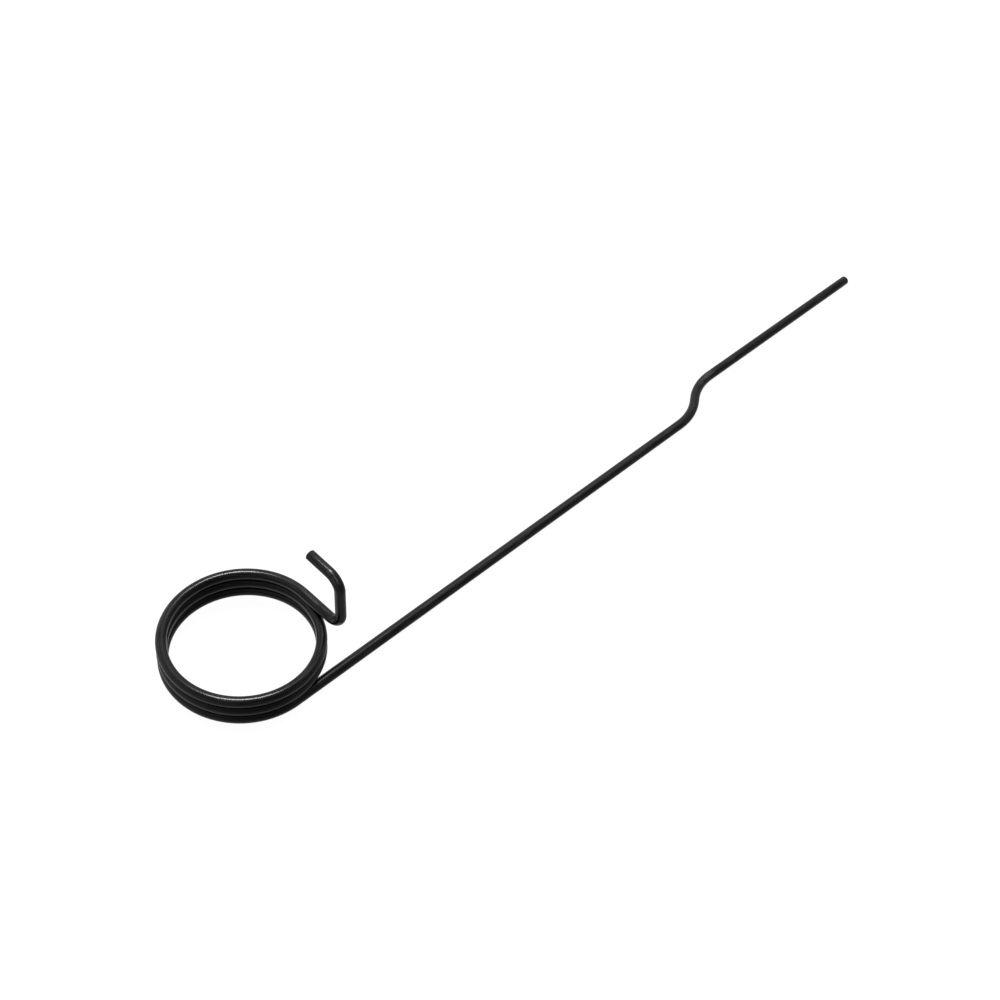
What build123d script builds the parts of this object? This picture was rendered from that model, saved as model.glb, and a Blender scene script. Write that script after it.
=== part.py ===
from build123d import *
from math import atan, ceil, cos, degrees, pi, radians, sin, sqrt, tan
import os

# Left-hand torsion spring, bent from one length of round spring wire.
# Lengths are in millimetres and angles in degrees.
# Z is the axis of the coil, and the spring lies on the plane z = 0. The long leg leaves the
# lowest turn at its front (-Y) and runs off along +X. The hook leaves the top turn on the +X side.

# Wire
wire_diameter = 2.5
end_chamfer = 0.2  # takes the burr off both cut ends

# Coil
coil_diameter = 35.0  # to the middle of the wire
turns = 2.75
turn_gap = 0.3  # free space between neighbouring turns
arcs_per_turn = 4

# Long leg, from the coil to its cut end
leg_length = 131.5  # from the coil's axis to the first bend of the joggle
joggle_offset = 7.0  # how far the joggle sets the end of the leg over
joggle_angle = 35.0
joggle_radius = 17.5  # of the wire's middle, in both bends of the joggle
leg_end_length = 62.5  # straight past the joggle

# Hook, from the coil to its cut end
hook_base_length = 7.9
hook_bend_radius = 3.75  # of the wire's middle, in both bends of the hook
hook_first_bend = 95.0
hook_riser_length = 7.5
hook_second_bend = 83.0
hook_tip_length = 6.4
hook_droop_share = 1.5  # how far the hook's base sinks, in turn gaps, while it crosses a turn

wire_radius = wire_diameter / 2
coil_radius = coil_diameter / 2
pitch = wire_diameter + turn_gap

# The coil is a chain of equal arcs, each turned a little about the wire from the last. Their
# ends lie on the coil's helix, and coil_slope is the wire's slope there that joins them smoothly.
coil_arcs = ceil(turns * arcs_per_turn)
arc_turn = 360 * turns / coil_arcs
arc_rise = pitch * turns / coil_arcs
coil_slope = degrees(atan(arc_rise / (coil_diameter * tan(radians(arc_turn / 2)))))

# Both legs come out of the coil's slope in a short bend as wide as the coil.
straightening_radius = coil_radius
coil_start_height = wire_radius + straightening_radius * (1 - cos(radians(coil_slope)))

# The joggle is two equal bends, with a straight between them that makes up its offset.
joggle_bends_offset = 2 * joggle_radius * (1 - cos(radians(joggle_angle)))
joggle_straight = (joggle_offset - joggle_bends_offset) / sin(radians(joggle_angle))

# The hook's base crosses the turn below it over about this length, and sinks meanwhile
# towards that turn without meeting it.
crossing_length = sqrt(coil_diameter * wire_diameter)
hook_droop = degrees(atan(hook_droop_share * turn_gap / crossing_length))

UP = Vector(0, 0, 1)


class Centreline:
    """The middle of the wire, laid down as a bending machine does it: fed, then bent."""

    def __init__(self, start, heading):
        self.point = start
        self.heading = heading
        self.edges = []

    def feed(self, length):
        end = self.point + self.heading * length
        self.edges.append(Edge.make_line(self.point, end))
        self.point = end

    def arc_to(self, end):
        arc = Edge.make_tangent_arc(self.point, self.heading, end)
        self.edges.append(arc)
        self.point = end
        self.heading = arc % 1

    def bend(self, axis, angle, radius):
        """Turns the heading by angle about an axis that is square to it."""
        inwards = axis.cross(self.heading) * (radius if angle > 0 else -radius)
        outwards_at_end = (-inwards).rotate(Axis((0, 0, 0), axis), angle)
        self.arc_to(self.point + inwards + outwards_at_end)


def coil_start():
    """The front of the lowest turn, where the wire runs towards -X as it climbs the coil."""
    point = Vector(0, -coil_radius, coil_start_height)
    heading = Vector(-1, 0, 0).rotate(Axis.Y, coil_slope)
    return point, heading


def long_leg():
    """The leg that the spring works through: level, straight, and joggled near its end."""
    point, heading = coil_start()
    leg = Centreline(point, -heading)
    leg.bend(Vector(0, -1, 0), coil_slope, straightening_radius)
    leg.feed(leg_length - leg.point.X)
    leg.bend(UP, joggle_angle, joggle_radius)
    leg.feed(joggle_straight)
    leg.bend(UP, -joggle_angle, joggle_radius)
    leg.feed(leg_end_length)
    return leg


def coil_and_hook():
    """The turns of the coil, clockwise as they rise, and the short leg: out of the top turn,
    up, and back over the coil in a square hook."""
    wire = Centreline(*coil_start())
    first = wire.point
    for arc in range(1, coil_arcs + 1):
        wire.arc_to(first.rotate(Axis.Z, -arc * arc_turn) + UP * arc * arc_rise)
    lift_axis = wire.heading.cross(UP).normalized()
    wire.bend(lift_axis, -(coil_slope + hook_droop), straightening_radius)
    wire.feed(hook_base_length)
    wire.bend(lift_axis, hook_first_bend, hook_bend_radius)
    wire.feed(hook_riser_length)
    wire.bend(lift_axis, hook_second_bend, hook_bend_radius)
    wire.feed(hook_tip_length)
    return wire


def bar(section, edges):
    """A section swept along joined edges."""
    path = Wire(edges)
    start = Plane(origin=path @ 0, z_dir=path % 0)
    return sweep(start * section, path=path)


def torsion_spring():
    """One round wire along the whole centreline, with the burr taken off its two cut ends.
    The straight end of each leg, which other parts fit onto, is swept as a circle. The wire
    between them is swept as an ellipse with equal radii, which is as round and has fewer facets."""
    *leg_edges, leg_end = long_leg().edges
    *coil_and_hook_edges, hook_tip = coil_and_hook().edges
    round_end = Circle(wire_radius)
    round_wire = Ellipse(wire_radius, wire_radius)
    spring = bar(round_wire, leg_edges + coil_and_hook_edges)
    spring += bar(round_end, [leg_end])
    spring += bar(round_end, [hook_tip])
    cut_ends = spring.faces().filter_by(GeomType.PLANE)
    return chamfer(cut_ends.edges(), end_chamfer)


os.makedirs("parts", exist_ok=True)
export_step(torsion_spring(), "parts/torsion_spring.step")
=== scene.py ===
# A left-hand torsion spring in black coated wire, lying on a light table in a studio.
# Lengths are in metres and angles in degrees. Z is the axis of the coil, and the long leg runs
# off along +X.
from math import atan, cos, degrees, radians, sin, sqrt

import bmesh
import bpy
from mathutils import Matrix, Vector


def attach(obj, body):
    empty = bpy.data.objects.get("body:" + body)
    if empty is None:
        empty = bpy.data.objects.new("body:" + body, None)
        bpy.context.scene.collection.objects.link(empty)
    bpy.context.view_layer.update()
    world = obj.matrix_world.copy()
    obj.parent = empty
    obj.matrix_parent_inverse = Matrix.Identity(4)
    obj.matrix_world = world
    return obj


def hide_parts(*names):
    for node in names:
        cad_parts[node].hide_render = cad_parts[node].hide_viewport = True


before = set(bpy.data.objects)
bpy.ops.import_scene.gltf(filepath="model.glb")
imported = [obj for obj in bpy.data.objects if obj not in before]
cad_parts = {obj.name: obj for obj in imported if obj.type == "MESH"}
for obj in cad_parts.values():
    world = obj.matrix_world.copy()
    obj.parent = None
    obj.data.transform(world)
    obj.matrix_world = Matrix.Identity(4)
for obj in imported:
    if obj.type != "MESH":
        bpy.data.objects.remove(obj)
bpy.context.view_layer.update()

# ------------------------------------------------------------------------------------------
# The spring is one length of round spring steel wire, drawn straight through a die and then
# bent cold. It is fed out from the cut end of its long leg: the joggle is bent first, then
# the coil is wound left-hand, and the square hook is bent up last.
# ------------------------------------------------------------------------------------------

wire_diameter = 0.0025
wire_facets = 48  # round the wire
straight_facet_length = 0.004  # along every straight of the wire
degrees_per_facet = 2.5  # along every bend
cut_end_rounding = 0.0002
cut_end_facets = 4  # across the rounding

coil_diameter = 0.035  # to the middle of the wire
turns = 2.75
turn_gap = 0.0003  # free space between neighbouring turns

leg_length = 0.1315  # from the coil's axis to the first bend of the joggle
leg_height = wire_diameter / 2  # of the wire's middle, above the floor
joggle_offset = 0.007  # how far the joggle sets the end of the leg over
joggle_angle = 35.0
joggle_radius = 0.0175  # of the wire's middle, in both bends of the joggle
leg_end_length = 0.0625  # straight past the joggle

hook_base_length = 0.0079
hook_bend_radius = 0.00375  # of the wire's middle, in both bends of the hook
hook_first_bend = 95.0
hook_riser_length = 0.0075
hook_second_bend = 83.0
hook_tip_length = 0.0064
hook_droop_share = 1.5  # how far the hook's base sinks, in turn gaps, while it crosses a turn

coil_radius = coil_diameter / 2
pitch = wire_diameter + turn_gap
quarter_turn_rise = pitch / 4
coil_slope = degrees(atan(quarter_turn_rise / coil_diameter))  # where both legs leave the coil
crossing_length = sqrt(coil_diameter * wire_diameter)
hook_droop = degrees(atan(hook_droop_share * turn_gap / crossing_length))

joggle_bends_offset = 2 * joggle_radius * (1 - cos(radians(joggle_angle)))
joggle_bends_run = 2 * joggle_radius * sin(radians(joggle_angle))
joggle_straight = (joggle_offset - joggle_bends_offset) / sin(radians(joggle_angle))
joggle_run = joggle_bends_run + joggle_straight * cos(radians(joggle_angle))

UP = Vector((0, 0, 1))


class WireBender:
    """Feeds and bends a round wire. Each point of its skin also keeps where it was on the
    straight wire, in a float vector layer that the coating's patterns follow."""

    def __init__(self, cut_end, heading):
        self.mesh = bmesh.new()
        self.straight = self.mesh.verts.layers.float_vector.new("straight_wire")
        self.point = Vector(cut_end)
        self.heading = Vector(heading).normalized()
        self.fed = 0.0
        facing = self.heading.to_track_quat("Z", "Y").to_matrix().to_4x4()
        rim = bmesh.ops.create_circle(self.mesh, cap_ends=False, segments=wire_facets,
                                      radius=wire_diameter / 2,
                                      matrix=Matrix.Translation(self.point) @ facing)["verts"]
        for vertex in rim:
            across = facing.inverted() @ (vertex.co - self.point)
            vertex[self.straight] = (0, across.x, across.y)
        self.first_rim = list(self.mesh.edges)
        self.open_end = rim + self.first_rim

    def sweep(self, centre, axis, angle, travel, length, steps):
        """Spins the open end round an axis while it travels on, and writes the new rings'
        places on the straight wire."""
        before = len(self.mesh.verts)
        swept = bmesh.ops.spin(self.mesh, geom=self.open_end, cent=centre, axis=axis,
                               dvec=travel / steps, angle=angle, steps=steps, use_merge=False,
                               use_normal_flip=False, use_duplicate=False)
        self.open_end = swept["geom_last"]
        self.mesh.verts.ensure_lookup_table()
        for count, vertex in enumerate(self.mesh.verts[before:]):
            step = count // wire_facets + 1
            across = vertex[self.straight]
            vertex[self.straight] = (self.fed + length * step / steps, across.y, across.z)
        self.fed += length

    def feed(self, length):
        travel = self.heading * length
        steps = max(1, round(length / straight_facet_length))
        self.sweep(self.point, self.heading, 0.0, travel, length, steps)
        self.point = self.point + travel

    def bend(self, axis, angle, radius):
        """Turns the heading by angle about an axis that is square to it."""
        towards_centre = axis.cross(self.heading) * (radius if angle > 0 else -radius)
        centre = self.point + towards_centre
        turn = Matrix.Rotation(radians(angle), 3, axis)
        steps = max(2, round(abs(angle) / degrees_per_facet))
        length = radius * radians(abs(angle))
        self.sweep(centre, axis, radians(angle), Vector((0, 0, 0)), length, steps)
        self.point = centre - turn @ towards_centre
        self.heading = turn @ self.heading

    def coil(self, axis_point, angle, climb):
        """Winds the wire about the upright axis, climbing as it goes."""
        turn = Matrix.Rotation(radians(angle), 3, UP)
        radius = (self.point - axis_point).xy.length
        steps = round(abs(angle) / degrees_per_facet)
        length = radius * radians(abs(angle))
        self.sweep(axis_point, UP, radians(angle), UP * climb, length, steps)
        self.point = axis_point + turn @ (self.point - axis_point) + UP * climb
        self.heading = turn @ self.heading


leg_reach = leg_length + joggle_run + leg_end_length
wire = WireBender((leg_reach, joggle_offset - coil_radius, leg_height), (-1, 0, 0))
wire.feed(leg_end_length)
wire.bend(UP, joggle_angle, joggle_radius)
wire.feed(joggle_straight)
wire.bend(UP, -joggle_angle, joggle_radius)
wire.feed(leg_length - coil_radius * sin(radians(coil_slope)))
wire.bend(Vector((0, 1, 0)), coil_slope, coil_radius)
wire.coil(Vector((0, 0, 0)), -360 * turns, pitch * turns)
lift_axis = wire.heading.cross(UP).normalized()
wire.bend(lift_axis, -(coil_slope + hook_droop), coil_radius)
wire.feed(hook_base_length)
wire.bend(lift_axis, hook_first_bend, hook_bend_radius)
wire.feed(hook_riser_length)
wire.bend(lift_axis, hook_second_bend, hook_bend_radius)
wire.feed(hook_tip_length)
wire_length = wire.fed

# Both ends are sheared flat, and tumbling takes the edge off them.
last_rim = [edge for edge in wire.open_end if isinstance(edge, bmesh.types.BMEdge)]
for rim in (wire.first_rim, last_rim):
    bmesh.ops.contextual_create(wire.mesh, geom=rim)
bmesh.ops.bevel(wire.mesh, geom=wire.first_rim + last_rim, offset=cut_end_rounding,
                offset_type="OFFSET", affect="EDGES", segments=cut_end_facets, profile=0.5,
                material=-1)
bmesh.ops.recalc_face_normals(wire.mesh, faces=wire.mesh.faces)
for face in wire.mesh.faces:
    face.smooth = True

spring_mesh = bpy.data.meshes.new("coated_spring_wire")
wire.mesh.to_mesh(spring_mesh)
wire.mesh.free()
spring = bpy.data.objects.new("coated_spring_wire", spring_mesh)
bpy.context.scene.collection.objects.link(spring)
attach(spring, "root")
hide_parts("torsion_spring")


class Shade:
    """A socket in a set of shader nodes. A sum on it adds Math nodes, and any other node comes
    from its node method."""

    def __init__(self, tree, socket=None):
        self.tree = tree
        self.socket = socket

    def node(self, kind, settings=None, output=0, **inputs):
        """Adds a node of this kind. Its settings are set first, then the numbers or links of
        its sockets, which are named (Base_Color) or numbered (i1)."""
        node = self.tree.nodes.new(kind)
        for name, setting in (settings or {}).items():
            setattr(node, name, setting)
        for name, given in inputs.items():
            socket = node.inputs[int(name[1:]) if name[1:].isdigit() else name.replace("_", " ")]
            if isinstance(given, Shade):
                self.tree.links.new(given.socket, socket)
            else:
                socket.default_value = given
        return Shade(self.tree, node.outputs[output])

    def math(self, operation, first, second):
        return self.node("ShaderNodeMath", {"operation": operation}, i0=first, i1=second)

    def __add__(self, other):
        return self.math("ADD", self, other)

    def __radd__(self, other):
        return self.math("ADD", other, self)

    def __sub__(self, other):
        return self.math("SUBTRACT", self, other)

    def __rsub__(self, other):
        return self.math("SUBTRACT", other, self)

    def __mul__(self, other):
        return self.math("MULTIPLY", self, other)

    def __rmul__(self, other):
        return self.math("MULTIPLY", other, self)

    def feed(self, socket):
        self.tree.links.new(self.socket, socket)


def noise(place, size, detail=2.0):
    """Cloudy noise from 0 to 1, with blotches about size across."""
    return place.node("ShaderNodeTexNoise", Vector=place, Scale=1 / size, Detail=detail)


def stretched(place, times):
    """Makes a pattern times as long along the wire as it is across."""
    return place.node("ShaderNodeVectorMath", {"operation": "MULTIPLY"},
                      i0=place, i1=(1 / times, 1, 1))


def ramp(value, low, high):
    """0 up to low and 1 from high, smooth between them. It falls where low is over high."""
    return value.node("ShaderNodeMapRange", {"interpolation_type": "SMOOTHSTEP"},
                      Value=value, i1=low, i2=high)


def blend(amount, first, second):
    """Goes from the first colour to the second as amount goes from 0 to 1."""
    return amount.node("ShaderNodeMix", {"data_type": "RGBA"}, output=2,
                       i0=amount, i6=first, i7=second)


# The coating is a thin semi-gloss black that is baked on. It follows the die's drawing lines,
# is matt on the sheared ends and worn round them, and is scuffed where the bending tools pressed.
# A light grey spot on the hook's second bend is partly a painted highlight.
coating_black = (0.0012, 0.0012, 0.0013, 1)
coating_grey = (0.034, 0.034, 0.0347, 1)
# Light grey of the scuffs, and of the painted highlight on the hook's second bend
scuff_and_highlight_grey = (0.1, 0.1, 0.102, 1)
worn_steel = (0.06, 0.057, 0.054, 1)
coating_roughness = 0.17  # where it is smoothest
coating_unevenness = 0.00003

line_width = 0.00026  # of the die's drawing lines
line_stretch = 24  # times as long as they are wide
line_break_width = 0.0012
line_break_stretch = 4
orange_peel_size = 0.0004
speckle_size = 0.00024
patch_size = 0.0028
patch_stretch = 3

scratch_width = 0.00024  # in a scuff
scratch_stretch = 8
scuff_core = 0.3  # the share of a scuff's reach over which it is at its full depth
brushed_facing = 0.82  # how squarely the skin faces a tool that just brushes it
pressed_facing = 0.97  # and one that presses it
chip_size = 0.00018
sheared_reach = 0.00002  # in from a cut end, so over its face alone
sheared_gone = 0.00006
wear_reach = 0.0001  # in from a cut end, so over its rounded rim
wear_gone = 0.0003

coating = bpy.data.materials.new("semi_gloss_black_coating")
coating.use_nodes = True
shader = coating.node_tree.nodes["Principled BSDF"]
shader.inputs["IOR"].default_value = 1.5
material = Shade(coating.node_tree)
skin = material.node("ShaderNodeAttribute", {"attribute_name": "straight_wire"}, output="Vector")
along, leftward, upward = (skin.node("ShaderNodeSeparateXYZ", output=axis, Vector=skin)
                           for axis in ("X", "Y", "Z"))

drawing_lines = noise(stretched(skin, line_stretch), line_width, detail=3.0)
line_breaks = noise(stretched(skin, line_break_stretch), line_break_width)
broken_lines = ramp(drawing_lines, 0.48, 0.62) * ramp(line_breaks, 0.4, 0.6)
orange_peel = noise(skin, orange_peel_size, detail=3.0)
speckle = ramp(noise(skin, speckle_size), 0.5, 0.68)
patches = noise(stretched(skin, patch_stretch), patch_size, detail=4.0)

# A bending pin or a gripping jaw leaves its scuff on the side of the wire that it pressed. The
# mark on the hook's second bend is partly a painted highlight, a light spot where the bend
# catches the key light. Each row has the mark's place along the wire, its reach either way, the
# side that it is on as leftward and upward shares, and how deep it is.
tool_marks_and_highlight_spot = (
    (leg_end_length + 0.0022, 0.0050, 0.15, 0.99, 1.0),  # the joggle, where it starts
    (wire_length - 0.0300, 0.0100, 0.05, 1.00, 0.3),  # the hook's base
    (wire_length - 0.0224, 0.0025, -0.40, -0.92, 1.0),  # the hook's first bend
    # a scuff, and partly a painted highlight spot
    (wire_length - 0.0082, 0.0022, -0.50, -0.87, 1.0),  # the hook's second bend
)
scuffs_and_painted_highlight = 0.0
for place, reach, left, up, depth in tool_marks_and_highlight_spot:
    distance = material.node("ShaderNodeMath", {"operation": "ABSOLUTE"}, i0=along - place)
    facing = (leftward * left + upward * up) * (2 / wire_diameter)
    within_mark_reach = ramp(distance, reach, scuff_core * reach)
    scuffs_and_painted_highlight = scuffs_and_painted_highlight + within_mark_reach * ramp(facing, brushed_facing, pressed_facing) * depth
scratches = noise(stretched(skin, scratch_stretch), scratch_width)
scuffs_and_painted_highlight = scuffs_and_painted_highlight * ramp(scratches, 0.46, 0.62)

from_end = material.math("MINIMUM", along, wire_length - along)
sheared = ramp(from_end, sheared_gone, sheared_reach)
chips = ramp(noise(skin, chip_size, detail=3.0), 0.45, 0.65)
edge_wear = ramp(from_end, wear_gone, wear_reach) * (1 - sheared) * chips

greyness = broken_lines * 0.6 + speckle * 0.3 + ramp(patches, 0.4, 0.8) * 0.12
colour = blend(greyness, coating_black, coating_grey)
colour = blend(edge_wear * 0.6, colour, worn_steel)
# The marks lighten the colour: the scuffs, and on the hook's second bend a painted highlight
blend(scuffs_and_painted_highlight, colour, scuff_and_highlight_grey).feed(shader.inputs["Base Color"])
roughness = coating_roughness + patches * 0.1 + orange_peel * 0.03
roughness = roughness + scuffs_and_painted_highlight * 0.12 + sheared * 0.22
roughness.feed(shader.inputs["Roughness"])
height = drawing_lines * 0.5 + orange_peel * 0.08
material.node("ShaderNodeBump", Strength=1.0, Distance=coating_unevenness,
              Height=height).feed(shader.inputs["Normal"])
spring_mesh.materials.append(coating)

# ------------------------------------------------------------------------------------------
# The spring lies on a studio light table: a matt sheet of opal acrylic, flat in the middle and
# swept up all round. Lamps under it light it until it shows plain white with hardly a shadow.
# It is a ground for the camera alone: the wire neither mirrors it nor takes light from it.
# ------------------------------------------------------------------------------------------

floor_radius = 1.5
floor_facets = 96  # round its rim
cove_radius = 0.8
degrees_per_cove_facet = 10
light_from_below = 0.97
opal_white = (0.080, 0.080, 0.080, 1)  # both as seen from above, with the lamps under it off
opal_shade = (0.072, 0.072, 0.071, 1)
opal_roughness = 0.85  # where it is smoothest
opal_grain_size = 0.0006
opal_grain_depth = 0.00005

floor_shape = bmesh.new()
bmesh.ops.create_circle(floor_shape, cap_ends=True, segments=floor_facets, radius=floor_radius)
rim = list(floor_shape.edges)
for lean in range(degrees_per_cove_facet, 91, degrees_per_cove_facet):
    raised = bmesh.ops.extrude_edge_only(floor_shape, edges=rim)["geom"]
    rim = [part for part in raised if isinstance(part, bmesh.types.BMEdge)]
    ring = [part for part in raised if isinstance(part, bmesh.types.BMVert)]
    spread = (floor_radius + cove_radius * sin(radians(lean))) / ring[0].co.xy.length
    rise = cove_radius * (1 - cos(radians(lean))) - ring[0].co.z
    bmesh.ops.scale(floor_shape, vec=(spread, spread, 1), verts=ring)
    bmesh.ops.translate(floor_shape, vec=(0, 0, rise), verts=ring)
bmesh.ops.recalc_face_normals(floor_shape, faces=floor_shape.faces)
for face in floor_shape.faces:
    face.smooth = True
floor_mesh = bpy.data.meshes.new("studio_floor")
floor_shape.to_mesh(floor_mesh)
floor_shape.free()
floor = bpy.data.objects.new("studio_floor", floor_mesh)
bpy.context.scene.collection.objects.link(floor)
floor.visible_glossy = False
floor.visible_diffuse = False
floor.visible_shadow = False

acrylic = bpy.data.materials.new("opal_acrylic")
acrylic.use_nodes = True
acrylic_shader = acrylic.node_tree.nodes["Principled BSDF"]
acrylic_shader.inputs["Emission Color"].default_value = (1, 1, 1, 1)
acrylic_shader.inputs["Emission Strength"].default_value = light_from_below
acrylic_place = Shade(acrylic.node_tree).node("ShaderNodeTexCoord", output="Object")
matt_grain = noise(acrylic_place, opal_grain_size, detail=3.0)
blend(matt_grain, opal_white, opal_shade).feed(acrylic_shader.inputs["Base Color"])
(opal_roughness + matt_grain * 0.1).feed(acrylic_shader.inputs["Roughness"])
acrylic_place.node("ShaderNodeBump", Strength=0.3, Distance=opal_grain_depth,
                   Height=matt_grain).feed(acrylic_shader.inputs["Normal"])
floor_mesh.materials.append(acrylic)

# ------------------------------------------------------------------------------------------
# Two softboxes light the spring. The one high overhead is long and thin, and its reflection
# is the bright line round the coil. The wide, weak one past the long leg lights the leg.
# ------------------------------------------------------------------------------------------


def softbox(name, place, aim, along, length, width, power):
    """A flat lamp that faces aim, with its long side turned as far as it can be towards
    the direction along."""
    place = Vector(place)
    back = (place - Vector(aim)).normalized()
    side = Vector(along) - Vector(along).dot(back) * back
    side.normalize()
    lamp = bpy.data.lights.new(name, "AREA")
    lamp.shape = "RECTANGLE"
    lamp.size = length
    lamp.size_y = width
    lamp.energy = power
    box = bpy.data.objects.new(name, lamp)
    box.location = place
    box.rotation_euler = Matrix((side, back.cross(side), back)).transposed().to_euler()
    bpy.context.scene.collection.objects.link(box)


softbox("key_strip", place=(0.25, 0.35, 1.95), aim=(0, 0, 0), along=(0.95, -0.31, 0),
        length=0.78, width=0.16, power=25.5)
softbox("leg_strip", place=(0.64, 0.16, 0.80), aim=(0.075, -0.0175, 0), along=(0, 1, 0),
        length=0.9, width=0.32, power=0.5)

# Round the softboxes the studio is dim, and lighter behind the spring than in front.
studio_brightness = 0.345
studio_brighter_towards = (0.04, 0.22, -0.12)

studio = bpy.data.worlds.new("studio")
studio.use_nodes = True
surround = studio.node_tree.nodes["Background"]
surround.inputs["Color"].default_value = (1, 1, 1, 1)
outward = Shade(studio.node_tree).node("ShaderNodeTexCoord", output="Object")
lighter = outward.node("ShaderNodeVectorMath", {"operation": "DOT_PRODUCT"}, output="Value",
                       i0=outward, i1=studio_brighter_towards)
(lighter + studio_brightness).feed(surround.inputs["Strength"])
bpy.context.scene.world = studio

# ------------------------------------------------------------------------------------------
# The camera stands above the coil's left, looking down along the long leg.
# ------------------------------------------------------------------------------------------

camera_place = (-0.13656, -0.18519, 0.29077)
camera_turn = (43.838, -3.972, -45.736)
lens_length = 58.75
film_width = 36.0

lens = bpy.data.cameras.new("studio_camera")
lens.lens = lens_length
lens.sensor_width = film_width
lens.clip_start = 0.01
camera = bpy.data.objects.new("studio_camera", lens)
camera.location = camera_place
camera.rotation_euler = [radians(angle) for angle in camera_turn]
bpy.context.scene.collection.objects.link(camera)
bpy.context.scene.camera = camera
bpy.context.scene.view_settings.view_transform = "Standard"
